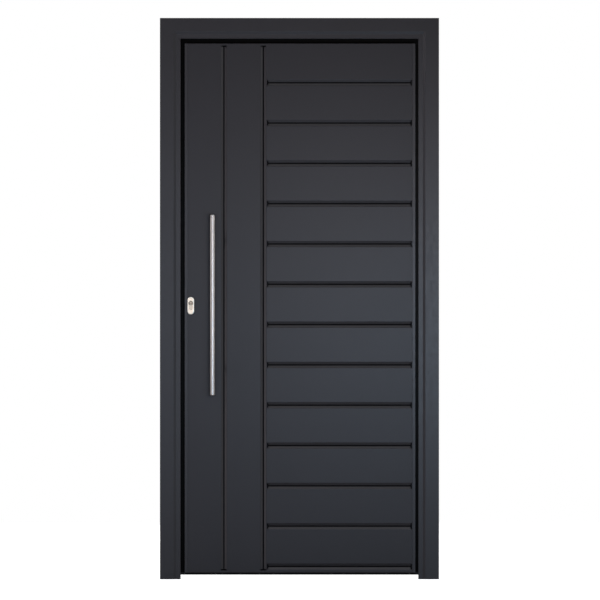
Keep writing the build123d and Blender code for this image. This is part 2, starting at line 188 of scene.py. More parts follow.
class StudioSettings(bpy.types.PropertyGroup):
    """Camera, lamps and floor."""

    view_width: FloatProperty(
        name="View width", description="Width that the camera sees at the door",
        default=2.2446, unit="LENGTH")
    lens: FloatProperty(
        name="Lens", description="Focal length in millimetres", default=250.0, unit="CAMERA")
    camera_height: FloatProperty(
        name="Camera height", description="Height of the camera above the floor",
        default=1.0449, unit="LENGTH")
    upper_power: FloatProperty(
        name="Upper power", description="Warm lamp above half height", default=13.4, unit="POWER")
    middle_power: FloatProperty(
        name="Middle power", description="Cool lamp at half height", default=12.2, unit="POWER")
    left_power: FloatProperty(
        name="Left power", description="Pale lamp towards the lock side", default=7.2, unit="POWER")
    near_power: FloatProperty(
        name="Near power", description="Cool lamp near the hinge side", default=5.4, unit="POWER")
    key_power: FloatProperty(
        name="Key power", description="Lamp high on the lock side", default=28.0, unit="POWER")
    tall_power: FloatProperty(
        name="Tall power", description="Tall lamp on the lock side", default=16.0, unit="POWER")
    fill_power: FloatProperty(
        name="Fill power", description="Lamp beside the door, three times as strong on the hinge side",
        default=12.0, unit="POWER")
    back_power: FloatProperty(
        name="Back power", description="Lamp on the room side", default=60.0, unit="POWER")
    warm: FloatVectorProperty(
        name="Warm", description="Colour of the upper lamp", subtype="COLOR", default=(1.0, 0.84, 0.79))
    cool: FloatVectorProperty(
        name="Cool", description="Colour of the middle and near lamps, and half of the left one's",
        subtype="COLOR", default=(0.49, 0.74, 1.0))
    soft: FloatVectorProperty(
        name="Soft", description="Colour of the key and tall lamps, and half of the left one's",
        subtype="COLOR", default=(1.0, 0.94, 1.0))
    ambient: FloatProperty(name="Ambient", description="Strength of the world on the object", default=0.025)
    end_tone: FloatProperty(
        name="End tone", description="Brightness of the walls in front and behind", default=0.04)
    side_tone: FloatProperty(
        name="Side tone", description="Brightness of the wall on the lock side", default=0.06)
    floor_glow: FloatProperty(
        name="Floor glow", description="Glow that keeps the floor as white as the background", default=0.95)
    floor_size: FloatProperty(
        name="Floor size", description="Side of the floor", default=8.0, unit="LENGTH")


# Modelling helpers

def take(piece):
    """Selects one piece alone and makes it active."""
    bpy.ops.object.select_all(action="DESELECT")
    piece.select_set(True)
    bpy.context.view_layer.objects.active = piece


def begin(piece_name):
    """Names a new primitive, puts its place into its mesh and opens it in edit mode."""
    piece = bpy.context.active_object
    piece.name = piece_name
    piece.data.name = piece_name
    bpy.ops.object.transform_apply(location=True, rotation=True, scale=True)
    bpy.ops.object.mode_set(mode="EDIT")
    return piece


def add_block(piece_name, low, high):
    """Adds a box between two corners and opens it."""
    bpy.ops.object.select_all(action="DESELECT")
    low, high = Vector(low), Vector(high)
    bpy.ops.mesh.primitive_cube_add(size=1, location=(low + high) / 2, scale=high - low)
    return begin(piece_name)


def add_rod(piece_name, start, end, radius, sides=48):
    """Adds a round rod between two points and opens it."""
    bpy.ops.object.select_all(action="DESELECT")
    start, end = Vector(start), Vector(end)
    along = end - start
    turn = along.to_track_quat("Z", "Y").to_euler()
    bpy.ops.mesh.primitive_cylinder_add(
        vertices=sides, radius=radius, depth=along.length, location=(start + end) / 2, rotation=turn)
    return begin(piece_name)


def choose(piece, kind, test):
    """Selects the open piece's faces, edges or vertices that pass a test."""
    bpy.ops.mesh.select_mode(type=kind)
    bpy.ops.mesh.select_all(action="DESELECT")
    shape = bmesh.from_edit_mesh(piece.data)
    shape.normal_update()
    elements = {"FACE": shape.faces, "EDGE": shape.edges, "VERT": shape.verts}[kind]
    chosen = [element for element in elements if test(element)]
    for element in chosen:
        element.select_set(True)
    shape.select_flush_mode()
    bmesh.update_edit_mesh(piece.data)
    if not chosen:
        raise RuntimeError(f"nothing to select on {piece.name}")


def face_towards(direction, depth=None):
    """A test for faces that look along a direction, and that lie at one depth on Y if given."""
    direction = Vector(direction)

    def test(face):
        level = depth is None or abs(face.calc_center_median().y - depth) < NEAR
        return level and face.normal.dot(direction) > FACING
    return test


def edge_at(places):
    """A test for sharp edges whose two ends share the given places, as {axis: place}."""
    def test(edge):
        level = all(abs(v.co[axis] - place) < NEAR for v in edge.verts for axis, place in places.items())
        return level and edge.calc_face_angle(0) > FOLD_ANGLE
    return test


def is_corner(edge, least=0.0):
    """True for a sharp edge that is longer than the least length."""
    return edge.calc_length() > least and edge.calc_face_angle(0) > CORNER_ANGLE


def is_along(edge, axis):
    """True for an edge that runs along one axis."""
    direction = edge.verts[1].co - edge.verts[0].co
    return abs(direction[axis]) > ALONG * direction.length


def cut_across(axis, place):
    """Splits what is selected by a plane across an axis."""
    point, normal = Vector(), Vector()
    point[axis] = place
    normal[axis] = 1
    bpy.ops.mesh.bisect(plane_co=point, plane_no=normal)


def push(offset):
    """Extrudes the selected faces by an offset."""
    bpy.ops.mesh.extrude_region_move(TRANSFORM_OT_translate={"value": Vector(offset)})


def soften(width, segments=2):
    """Rounds the selected edges."""
    bpy.ops.mesh.bevel(offset=width, segments=segments, affect="EDGES", clamp_overlap=True)


def close(piece):
    """Turns the faces outwards, closes the piece and shades its round faces smooth."""
    bpy.ops.mesh.select_all(action="SELECT")
    bpy.ops.mesh.normals_make_consistent(inside=False)
    bpy.ops.object.mode_set(mode="OBJECT")
    take(piece)
    bpy.ops.object.shade_smooth_by_angle(angle=SMOOTH_ANGLE)
    return piece


def carve(piece, *cutters):
    """Takes the cutters' shapes out of a closed piece and removes the cutters."""
    take(piece)
    for cutter in cutters:
        boolean = piece.modifiers.new("cut", "BOOLEAN")
        boolean.operation = "DIFFERENCE"
        boolean.solver = "EXACT"
        boolean.object = cutter
        bpy.ops.object.modifier_apply(modifier=boolean.name)
    bpy.ops.object.select_all(action="DESELECT")
    for cutter in cutters:
        cutter.select_set(True)
    bpy.ops.object.delete()
    return piece


def reopen(piece):
    """Opens a closed piece again."""
    take(piece)
    bpy.ops.object.mode_set(mode="EDIT")


def merged_copy(node, piece_name):
    """Opens a copy of a frame node's mesh, merged and freed of edges inside flat faces."""
    piece = bpy.data.objects.new(piece_name, frame["nodes"][node].data.copy())
    bpy.context.scene.collection.objects.link(piece)
    piece.data.name = piece_name
    piece.data.materials.clear()
    reopen(piece)
    bpy.ops.mesh.select_all(action="SELECT")
    bpy.ops.mesh.remove_doubles(threshold=MERGE)
    bpy.ops.mesh.dissolve_limited(angle_limit=FLAT_ANGLE)
    return piece


def join(piece, other):
    """Joins another closed piece into the first one."""
    take(piece)
    other.select_set(True)
    bpy.ops.object.join()
    return piece


def keep_flat(piece):
    """Keeps a finished piece's flat faces flat in the smooth shading round its soft edges."""
    take(piece)
    weighted = piece.modifiers.new("flat faces", "WEIGHTED_NORMAL")
    weighted.keep_sharp = True
    bpy.ops.object.modifier_apply(modifier=weighted.name)


def fit(piece, slot, body, replaced=(), look=None):
    """Gives a piece its finish and body, and lets it stand for the nodes that it replaces."""
    keep_flat(piece)
    piece.data.materials.clear()
    piece.data.materials.append(finish(look or slot))
    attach(piece, body)
    if replaced:
        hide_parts(*replaced)


# Finishes. A noise's scale is per metre, and darkest and lightest are shares of the finish's own colour

NEAR_BLACK = (0.0008, 0.0008, 0.0008, 1)
REBATE_SHADE_DEPTHS = (0.0312, 0.0320)  # on Y, where the painted shade in the leaf's rebate gives way to its paint
SLOPE_DEPTHS = (0.0044, 0.0060)  # on Y, where the gloss grows down a groove's slopes
KERF_SHADE_DEPTHS = (0.0092, 0.0112)  # on Y, where painted shade takes the film dark towards the kerf
PLUG_SHADE_DEPTHS = (0.0006, 0.0013)  # behind the cylinder's front, where painted shade takes it dark round its plug
# the second gloss is that of the painted shade in the leaf's rebate, nearly none
PAINT_GLOSS, REBATE_SHADE_GLOSS = 0.42, 0.05
FILM_GLOSS, SLOPE_GLOSS = 0.34, 0.56
MIX_FIRST, MIX_SECOND, MIX_RESULT = 6, 7, 2  # the Mix node's sockets for colours


def give(tree, socket, value):
    """Links a socket to another one, or sets it to a plain value."""
    if isinstance(value, bpy.types.NodeSocket):
        tree.links.new(value, socket)
    else:
        socket.default_value = value


def add(tree, kind, inputs=None, **settings):
    """Adds a shader node, with plain settings, and with inputs that are values or sockets."""
    made = tree.nodes.new(kind)
    for key, value in settings.items():
        setattr(made, key, value)
    for key, value in (inputs or {}).items():
        give(tree, made.inputs[key], value)
    return made


def own_place(tree):
    """Each point's place in the object's own space."""
    return add(tree, "ShaderNodeTexCoord").outputs["Object"]


def grain(tree, scale, stretch=(1, 1, 1), detail=3.0):
    """A noise in the object's own space, drawn out along an axis by stretch."""
    mapping = add(tree, "ShaderNodeMapping", {"Vector": own_place(tree), "Scale": stretch})
    noise = add(tree, "ShaderNodeTexNoise", {
        "Vector": mapping.outputs["Vector"], "Scale": scale, "Detail": detail})
    return noise.outputs["Fac"]


def span(tree, value, low, high, first=0.3, last=0.7):
    """Spreads a value over a range, from the reach of a noise unless another one is given."""
    ranged = add(tree, "ShaderNodeMapRange", {
        "Value": value, "From Min": first, "From Max": last, "To Min": low, "To Max": high})
    return ranged.outputs["Result"]


def along_y(tree, depths, low, high):
    """A value that goes from one level to another between two depths on Y."""
    depth = add(tree, "ShaderNodeSeparateXYZ", {"Vector": own_place(tree)}).outputs["Y"]
    return span(tree, depth, low, high, *depths)


def clouded(tree, colour, noise, darkest, lightest):
    """A colour that wanders with a noise between a darker and a lighter shade of itself."""
    shades = [(*(part * share for part in colour), 1) for share in (darkest, lightest)]
    mixed = add(tree, "ShaderNodeMix", {
        "Factor": span(tree, noise, 0, 1), MIX_FIRST: shades[0], MIX_SECOND: shades[1]}, data_type="RGBA")
    return mixed.outputs[MIX_RESULT]


def darkened(tree, colour, level):
    """A colour that goes down to near black as a level goes from one to nothing."""
    mixed = add(tree, "ShaderNodeMix", {
        "Factor": level, MIX_FIRST: NEAR_BLACK, MIX_SECOND: colour}, data_type="RGBA")
    return mixed.outputs[MIX_RESULT]


def bump(tree, height, distance, strength):
    """Turns a height into a normal."""
    inputs = {"Height": height, "Distance": distance, "Strength": strength}
    return add(tree, "ShaderNodeBump", inputs).outputs["Normal"]


def set_shader(tree, **sockets):
    """Gives the shader's sockets plain values, or links what other nodes make."""
    shader = tree.nodes["Principled BSDF"]
    for key, value in sockets.items():
        give(tree, shader.inputs[key.replace("_", " ")], value)


def paint_sockets(tree, colours):
    """Colour, roughness and fine orange peel of the powder coat."""
    return {
        "Base_Color": clouded(tree, colours.paint, grain(tree, scale=5), darkest=0.93, lightest=1.07),
        "Roughness": span(tree, grain(tree, scale=60), low=0.40, high=0.46),
        "Normal": bump(tree, grain(tree, scale=620, detail=2), distance=0.00004, strength=0.22),
    }


def powder_coat(tree, colours):
    """Satin powder coat."""
    set_shader(tree, Specular_IOR_Level=PAINT_GLOSS, **paint_sockets(tree, colours))


def rebate_shaded_paint(tree, colours):
    """Powder coat of the leaf, with painted shade, near black and matt, on the rebate faces that show round
    the board.
    """
    sockets = paint_sockets(tree, colours)
    sockets["Base_Color"] = darkened(tree, sockets["Base_Color"], along_y(tree, REBATE_SHADE_DEPTHS, 0.0, 1.0))
    sockets["Specular_IOR_Level"] = along_y(tree, REBATE_SHADE_DEPTHS, REBATE_SHADE_GLOSS, PAINT_GLOSS)
    set_shader(tree, **sockets)


def film_sockets(tree, colours):
    """Colour, roughness and faint length grain of the film."""
    length_grain = grain(tree, scale=240, stretch=(1, 1, 0.035))
    return {
        "Base_Color": clouded(tree, colours.film, grain(tree, scale=4), darkest=0.94, lightest=1.06),
        "Roughness": span(tree, length_grain, low=0.44, high=0.46),
        "Normal": bump(tree, length_grain, distance=0.00003, strength=0.06),
    }


def board_film(tree, colours):
    """Matt film over fibreboard."""
    set_shader(tree, Specular_IOR_Level=FILM_GLOSS, **film_sockets(tree, colours))


def milled_film(tree, colours):
    """The same film where it is drawn into the grooves, glossier on their slopes, with painted shade taking
    it dark and without gloss towards the kerf.
    """
    sockets = film_sockets(tree, colours)
    sockets["Base_Color"] = darkened(tree, sockets["Base_Color"], along_y(tree, KERF_SHADE_DEPTHS, 1.0, 0.0))
    sockets["Specular_IOR_Level"] = add(tree, "ShaderNodeMath", {
        0: along_y(tree, SLOPE_DEPTHS, FILM_GLOSS, SLOPE_GLOSS),
        1: along_y(tree, KERF_SHADE_DEPTHS, 1.0, 0.0)}, operation="MULTIPLY").outputs[0]
    set_shader(tree, **sockets)


def black_rubber(tree, colours):
    """Matt moulded rubber with a dusty bloom."""
    bloom = grain(tree, scale=35)
    set_shader(
        tree, Specular_IOR_Level=0.35,
        Base_Color=clouded(tree, colours.rubber, bloom, darkest=0.8, lightest=1.5),
        Roughness=span(tree, bloom, low=0.62, high=0.8),
        Normal=bump(tree, grain(tree, scale=900), distance=0.00004, strength=0.4))


def brushed_stainless(tree, colours):
    """Stainless steel with fine lines along its height and faint handling marks."""
    lines = grain(tree, scale=600, stretch=(1, 1, 0.008), detail=2)
    set_shader(
        tree, Metallic=1.0,
        Base_Color=clouded(tree, colours.stainless, lines, darkest=0.97, lightest=1.03),
        Roughness=span(tree, grain(tree, scale=18), low=0.34, high=0.37),
        Normal=bump(tree, lines, distance=0.000004, strength=0.1))


def satin_nickel(tree, colours):
    """Warm satin nickel plating with a blasted grain."""
    cloud = grain(tree, scale=60)
    set_shader(
        tree, Metallic=0.6,
        Base_Color=clouded(tree, colours.nickel, cloud, darkest=0.94, lightest=1.05),
        Roughness=span(tree, cloud, low=0.46, high=0.54),
        Normal=bump(tree, grain(tree, scale=1400, detail=2), distance=0.00001, strength=0.3))


def polished_highlit_nickel(tree, colours):
    """The same plating where it is buffed, its colour lightened as a painted highlight."""
    marks = grain(tree, scale=90)
    set_shader(
        tree, Metallic=0.8,
        Base_Color=clouded(tree, colours.bright_nickel, marks, darkest=0.94, lightest=1.0),
        Roughness=span(tree, marks, low=0.40, high=0.46),
        Normal=bump(tree, grain(tree, scale=700, detail=2), distance=0.00001, strength=0.2))


def cylinder_nickel(tree, colours):
    """Plain nickel of the lock cylinder, marked by keys, with painted shade taking it dark in its keyway
    and round its plug.
    """
    marks = grain(tree, scale=400)
    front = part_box("lock_cylinder")[0].y
    depths = [front + depth for depth in PLUG_SHADE_DEPTHS]
    nickel = clouded(tree, colours.nickel, marks, darkest=0.62, lightest=0.76)
    set_shader(
        tree, Metallic=0.7,
        Base_Color=darkened(tree, nickel, along_y(tree, depths, 1.0, 0.0)),
        Roughness=span(tree, marks, low=0.45, high=0.55),
        Normal=bump(tree, marks, distance=0.00002, strength=0.3))


def zinc_steel(tree, colours):
    """Bright zinc plating with soft crystal patches."""
    patches = add(tree, "ShaderNodeTexVoronoi", {"Vector": own_place(tree), "Scale": 220.0})
    tone = add(tree, "ShaderNodeSeparateColor", {"Color": patches.outputs["Color"]}).outputs["Red"]
    set_shader(
        tree, Metallic=1.0,
        Base_Color=clouded(tree, colours.zinc, tone, darkest=0.86, lightest=1.1),
        Roughness=span(tree, tone, low=0.28, high=0.42),
        Normal=bump(tree, grain(tree, scale=500), distance=0.00002, strength=0.3))


FINISHES = {
    "frame_paint": powder_coat,
    "leaf_paint": powder_coat,
    "board_film": board_film,
    "rebate_shaded_paint": rebate_shaded_paint,
    "milled_film": milled_film,
    "black_rubber": black_rubber,
    "brushed_stainless": brushed_stainless,
    "satin_nickel": satin_nickel,
    "polished_highlit_nickel": polished_highlit_nickel,
    "cylinder_nickel": cylinder_nickel,
    "zinc_steel": zinc_steel,
}


def finish(slot):
    """The material of a slot, made the first time that it is asked for."""
    material = bpy.data.materials.get(slot + "_finish")
    if material is None:
        material = bpy.data.materials.new(slot + "_finish")
        material.use_nodes = True
        FINISHES[slot](material.node_tree, bpy.context.scene.door_colours)
    return material


# Shared shapes

OVERRUN = 0.01  # by which a cutter stands out of its piece
WEB_HALF = 0.005  # half the width of the lock cylinder's web
WEB_ROUND = 0.98  # share of that half that the web's round foot takes


def round_box(node):
    """Box of a node, its middle, and the radius that half its width gives."""
    low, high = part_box(node)
    return low, high, (low + high) / 2, (high.x - low.x) / 2


def lock_centre():
    """Place of the lock cylinder's round part, seen from outside, and its radius."""
    low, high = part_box("lock_cylinder")
    radius = (high.x - low.x) / 2
    return (low.x + high.x) / 2, high.z - radius, radius


def profile_cutters(low, high, play):
    """Cutters through a piece's box for the lock cylinder: a round one and the web below it."""
    x, z, radius = lock_centre()
    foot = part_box("lock_cylinder")[0].z
    front, back = low.y - OVERRUN, high.y + OVERRUN
    web = WEB_HALF + play
    barrel = close(add_rod("barrel_cutter", (x, front, z), (x, back, z), radius + play))
    web_cutter = add_block("web_cutter", (x - web, front, foot - play), (x + web, back, z))
    choose(web_cutter, "EDGE", lambda e: all(v.co.z < foot for v in e.verts) and is_along(e, Y))
    soften(web * WEB_ROUND, segments=8)
    return barrel, close(web_cutter)


# Operators, one for each piece or group of like pieces

BOARD_PLAY = 0.0003  # between the outer board and the lock cylinder


class DOOR_OT_milled_board(bpy.types.Operator):
    """Mill the outer board: two upright grooves and a field of level ones"""

    bl_idname = "door.milled_board"
    bl_label = "Milled Board"

    def execute(self, context):
        sizes = context.scene.board_sizes
        low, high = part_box("outer_board")
        face, step = low.y, low.y + sizes.strip_thickness
        lock_edge, hinge_edge = low.x - sizes.strip_thickness, high.x + sizes.strip_thickness
        board = add_block("milled_board", (low.x, step, low.z), high)
        field = (lock_edge + sizes.strip_cover, hinge_edge - sizes.strip_cover)
        outer = face_towards(OUTSIDE)
        for place in field:
            choose(board, "FACE", outer)
            cut_across(X, place)
        choose(board, "FACE", lambda f: outer(f) and field[0] < f.calc_center_median().x < field[1])
        push((0, face - step, 0))
        grooves = groove_places(sizes, lock_edge, hinge_edge, low.z, high.z)
        mill_grooves(board, face, grooves, sizes)
        choose(board, "EDGE", edge_at({Y: face}))
        soften(sizes.rim_round, segments=3)
        close(board)
        carve(board, *profile_cutters(low, high, BOARD_PLAY))
        fit(board, "board_film", "leaf", ["outer_board"], "milled_film")
        return {"FINISHED"}


def groove_places(sizes, lock_edge, hinge_edge, bottom, top):
    """Each groove as (axis that it runs along, centre on the other axis, start, end)."""
    margin = sizes.upright_margin
    start, end = lock_edge + sizes.slat_start, hinge_edge - sizes.slat_end_margin
    uprights = [(Z, lock_edge + offset, bottom + margin, top - margin)
                for offset in (sizes.lock_groove, sizes.middle_groove)]
    levels = [(X, top - sizes.slat_first_drop - row * sizes.slat_pitch, start, end)
              for row in range(sizes.slat_count)]
    return uprights + levels


def other(axis):
    """The other axis of the board's face."""
    return X + Z - axis


def in_groove(point, groove, half, trim=0.0):
    """True for a point inside a groove's outline, its ends trimmed by an amount."""
    axis, centre, start, end = groove
    beside = abs(point[other(axis)] - centre) < half + NEAR
    return beside and start + trim - NEAR < point[axis] < end - trim + NEAR


def mill_grooves(board, face, grooves, sizes):
    """Cuts V grooves into the board's face: outlines first, then the V, then the kerf below it."""
    half = sizes.groove_width / 2
    floor = face + sizes.groove_depth
    at_face, at_floor = face_towards(OUTSIDE, face), face_towards(OUTSIDE, floor)
    for axis, centre, start, end in grooves:
        lines = [(other(axis), centre - half), (other(axis), centre + half)]
        lines += [(axis, place) for place in (start, start + sizes.end_flare, end - sizes.end_flare, end)]
        for line_axis, place in lines:
            choose(board, "FACE", at_face)
            cut_across(line_axis, place)
    choose(board, "FACE", lambda f: at_face(f) and any(
        in_groove(f.calc_center_median(), g, half) for g in grooves))
    push((0, sizes.groove_depth, 0))
    for groove in grooves:
        choose(board, "VERT", lambda v: abs(v.co.y - floor) < NEAR and in_groove(
            v.co, groove, half, sizes.end_flare))
        axis, centre = groove[:2]
        narrow, middle = Vector((1, 1, 1)), Vector((0, floor, 0))
        narrow[other(axis)] = sizes.kerf_width / sizes.groove_width
        middle[other(axis)] = centre
        bpy.ops.transform.resize(value=narrow, center_override=middle)
    kerf = sizes.kerf_width / 2
    choose(board, "FACE", lambda f: at_floor(f) and any(
        in_groove(f.calc_center_median(), g, kerf, sizes.end_flare) for g in grooves))
    push((0, sizes.kerf_depth, 0))


LEAST_EDGE = 0.009  # shorter edges of sheets stay sharp
FOOT_SPREAD = (-0.0006, 0.0009)  # where the foot of the frame's step lies, from the step's place
FOOT_DEPTHS = (0.0041, 0.0067)  # and how deep below the frame's face


class DOOR_OT_sheet_pieces(bpy.types.Operator):
    """Round the folds and edges of the frame, the leaf and the plain boards"""

    bl_idname = "door.sheet_pieces"
    bl_label = "Sheet Pieces"

    def execute(self, context):
        sizes = context.scene.fitting_sizes
        for node in (*FRAME_MEMBERS, "leaf_body", "inner_board", "lock_edge_strip", "hinge_edge_strip",
                     "strike_plate", "edge_plate"):
            piece = merged_copy(node, node + "_dressed")
            if node in FRAME_MEMBERS:
                self.ease_step(piece, node, sizes)
            choose(piece, "EDGE", lambda e: is_corner(e, LEAST_EDGE) and not on_mitre(e))
            soften(sizes.fold_round)
            # the leaf body's finish paints near black shade on its rebate faces round the board
            look = "rebate_shaded_paint" if node == "leaf_body" else None
            fit(close(piece), SLOTS[node], BODIES[node], [node], look)
        return {"FINISHED"}

    def ease_step(self, piece, node, sizes):
        """Lets the frame's face run down to its land as a wide slope, mitred at the corners."""
        low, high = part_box("head")
        ease = sizes.step_ease
        first, last = (sizes.step_place + offset for offset in FOOT_SPREAD)
        shallow, deep = (low.y + depth for depth in FOOT_DEPTHS)
        inward = {"lock_jamb": (1, 0), "hinge_jamb": (-1, 0), "head": (0, -1)}[node]
        reach = {"lock_jamb": lambda v: v.co.x - low.x, "hinge_jamb": lambda v: high.x - v.co.x,
                 "head": lambda v: high.z - v.co.z}[node]

        def foot(vert):
            return first < reach(vert) < last and shallow < vert.co.y < deep

        if node == "head":
            for side, end in ((1, low.x), (-1, high.x)):
                choose(piece, "VERT", lambda v: foot(v) and abs(abs(v.co.x - end) - reach(v)) < NEAR)
                bpy.ops.transform.translate(value=(side * ease, 0, 0))
        else:
            choose(piece, "VERT", lambda v: foot(v) and abs(high.z - v.co.z - reach(v)) < NEAR)
            bpy.ops.transform.translate(value=(0, 0, -ease))
        choose(piece, "VERT", foot)
        bpy.ops.transform.translate(value=(inward[0] * ease, 0, inward[1] * ease))


def on_mitre(edge):
    """True for an edge on one of the frame's two mitre planes."""
    low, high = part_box("head")
    half = (high.x - low.x) / 2
    middle = (high.x + low.x) / 2
    points = [v.co for v in edge.verts]
    points.append((points[0] + points[1]) / 2)
    return all(abs((high.z - point.z) - (half - abs(point.x - middle))) < NEAR for point in points)


POST_ROUND = 0.0006  # fine joint at a post's foot
BAR_PLAY = 0.00005  # between the bar and its posts


class DOOR_OT_pull_bar(bpy.types.Operator):
    """Turn the pull bar with its rounded ends and the posts that carry it"""

    bl_idname = "door.pull_bar"
    bl_label = "Pull Bar"

    def execute(self, context):
        sizes = context.scene.fitting_sizes
        low, high, centre, radius = round_box("pull_bar")
        bar = add_rod(
            "pull_bar_rod", (centre.x, centre.y, low.z), (centre.x, centre.y, high.z), radius, sides=64)
        for end in (low.z, high.z):
            choose(bar, "EDGE", edge_at({Z: end}))
            soften(sizes.bar_end_round, segments=6)
        fit(close(bar), "brushed_stainless", "leaf", ["pull_bar"])
        for node in ("pull_bar_upper_post", "pull_bar_lower_post"):
            self.post(node, centre, radius)
        return {"FINISHED"}

    def post(self, node, centre, bar_radius):
        """One post with a fine foot joint, hollowed round the bar."""
        _, high, middle, radius = round_box(node)
        foot, end = (middle.x, high.y, middle.z), (middle.x, centre.y, middle.z)
        post = add_rod(node + "_turned", foot, end, radius)
        choose(post, "EDGE", edge_at({Y: high.y}))
        soften(POST_ROUND)
        close(post)
        reach = Vector((0, 0, 2 * radius))
        seat = add_rod("bar_cutter", middle - reach, middle + reach, bar_radius + BAR_PLAY, sides=64)
        bpy.ops.mesh.select_all(action="SELECT")
        bpy.ops.transform.translate(value=(0, centre.y - middle.y, 0))
        carve(post, close(seat))
        fit(post, "brushed_stainless", "leaf", [node])


FIELD_SLOPE = 0.0006  # width of the step from a cover's rim to its field
BUFFED_HIGHLIT_DEPTH = 0.0021  # below the field, down to which a cover is buffed and lightened as a painted highlight


class DOOR_OT_lock_covers(bpy.types.Operator):
    """Shape the long round-ended covers of the lock with their rounded rims"""

    bl_idname = "door.lock_covers"
    bl_label = "Lock Covers"

    def execute(self, context):
        sizes = context.scene.fitting_sizes
        for node, outward in (("outer_escutcheon", -1), ("inner_escutcheon", 1)):
            low, high, middle, radius = round_box(node)
            back, front = (high.y, low.y) if outward < 0 else (low.y, high.y)
            start, end = (middle.x, back, middle.z), (middle.x, front, middle.z)
            cover = add_rod(node + "_cover", start, end, radius, sides=66)
            stretch = (high.z - low.z) / 2 - radius
            for side in (-1, 1):
                choose(cover, "VERT", lambda v: (v.co.z - middle.z) * side > NEAR * side)
                bpy.ops.transform.translate(value=(0, 0, side * stretch))
            choose(cover, "EDGE", edge_at({Y: front}))
            soften(sizes.cover_rim, segments=7)
            field = front - outward * sizes.cover_field_drop
            choose(cover, "FACE", face_towards((0, outward, 0), front))
            bpy.ops.mesh.inset(thickness=FIELD_SLOPE)
            push((0, field - front, 0))
            close(cover)
            carve(cover, *profile_cutters(low, high, sizes.profile_play))
            reopen(cover)
            at_field = edge_at({Y: field})
            choose(cover, "EDGE", lambda e: at_field(e) and round_cylinder(e, sizes.profile_play))
            soften(sizes.profile_dish, segments=3)
            fit(close(cover), "satin_nickel", "leaf", [node])
            # the buffed rim takes the lighter nickel, a painted highlight
            buffed_highlit = [f for f in cover.data.polygons
                      if outward * (f.center.y - field) > -BUFFED_HIGHLIT_DEPTH
                      and not (f.normal.y * outward > FACING and abs(f.center.y - field) < NEAR)]
            cover.data.materials.append(finish("polished_highlit_nickel"))
            for face in buffed_highlit:
                face.material_index = 1
        return {"FINISHED"}


def round_cylinder(edge, play):
    """True for an edge on the outline that a cover leaves round the lock cylinder."""
    x, z, radius = lock_centre()
    reach = radius + play + NEAR
    return all(abs(v.co.x - x) < reach and v.co.z < z + reach for v in edge.verts)


PLUG_PROUD = 0.0006  # by which the plug stands out of the cylinder's front
PLUG_SEAT = 0.002  # depth of the ring turned round the plug
CYLINDER_ROUND, PLUG_ROUND = 0.0005, 0.0007
KEYWAY_LENGTH, KEYWAY_WIDTH, KEYWAY_DEPTH = 0.0086, 0.0024, 0.0015
TURN_NECK_LENGTH, TURN_NECK_RADIUS = 0.004, 0.0075
TURN_GRIP_START = 0.003  # along the neck
TURN_CORNER = 0.0055  # rounding of the grip's corners
TURN_TAPER = (0.72, 1, 0.96)  # share of its foot that the grip's end keeps
TURN_END_ROUND, TURN_FOOT_ROUND = 0.0015, 0.001


class DOOR_OT_lock_cylinder(bpy.types.Operator):
    """Dress the lock cylinder: its body, the plug with the keyway and the turn inside"""

    bl_idname = "door.lock_cylinder"
    bl_label = "Lock Cylinder"

    def execute(self, context):
        sizes = context.scene.fitting_sizes
        x, z, _ = lock_centre()
        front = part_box("lock_cylinder")[0].y
        face, seat, before = front - PLUG_PROUD, front + PLUG_SEAT, front - OVERRUN
        body = merged_copy("lock_cylinder", "lock_cylinder_body")
        at_front = edge_at({Y: front})
        choose(body, "EDGE", lambda e: at_front(e) and not in_plug(e, x, z, sizes.plug_radius))
        soften(CYLINDER_ROUND)
        close(body)
        ring_radius = sizes.plug_radius + sizes.plug_ring
        carve(body, close(add_rod("ring_cutter", (x, before, z), (x, seat, z), ring_radius)))
        fit(body, "satin_nickel", "leaf", ["lock_cylinder"], "cylinder_nickel")
        plug = add_rod("cylinder_plug", (x, seat, z), (x, face, z), sizes.plug_radius)
        choose(plug, "EDGE", edge_at({Y: face}))
        soften(PLUG_ROUND, segments=3)
        close(plug)
        half_length, half_width = KEYWAY_LENGTH / 2, KEYWAY_WIDTH / 2
        slot = add_block(
            "keyway_cutter", (x - half_length, before, z - half_width),
            (x + half_length, front + KEYWAY_DEPTH, z + half_width))
        carve(plug, close(slot))
        fit(plug, "satin_nickel", "leaf", (), "cylinder_nickel")
        self.turn(x, z)
        return {"FINISHED"}

    def turn(self, x, z):
        """The turn on the room end: a round neck and a tapered grip."""
        low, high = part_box("thumb_turn")
        neck_end, grip_start = low.y + TURN_NECK_LENGTH, low.y + TURN_GRIP_START
        neck = close(add_rod("turn_neck", (x, low.y, z), (x, neck_end, z), TURN_NECK_RADIUS))
        grip = add_block("thumb_turn_grip", (low.x, grip_start, low.z), high)
        choose(grip, "EDGE", lambda e: is_along(e, Y))
        soften(TURN_CORNER, segments=6)
        choose(grip, "FACE", face_towards(INSIDE))
        bpy.ops.transform.resize(value=TURN_TAPER, center_override=(x, high.y, z))
        choose(grip, "EDGE", edge_at({Y: high.y}))
        soften(TURN_END_ROUND, segments=3)
        choose(grip, "EDGE", edge_at({Y: grip_start}))
        soften(TURN_FOOT_ROUND)
        close(grip)
        fit(join(grip, neck), "satin_nickel", "leaf", ["thumb_turn"])


def in_plug(edge, x, z, radius):
    """True for an edge inside the plug's circle."""
    return all(math.hypot(v.co.x - x, v.co.z - z) < radius for v in edge.verts)


ROSE_ROUND = 0.0028
RECESS_RADIUS, RECESS_DEPTH = 0.0118, 0.0007  # of the rose, round the lever's neck
NECK_SHARE = 0.97  # radius of the lever's neck as a share of the grip's
LEVER_END_ROUND, LEVER_ROOT_ROUND = 0.0035, 0.0006
ELBOW_STEPS = 12


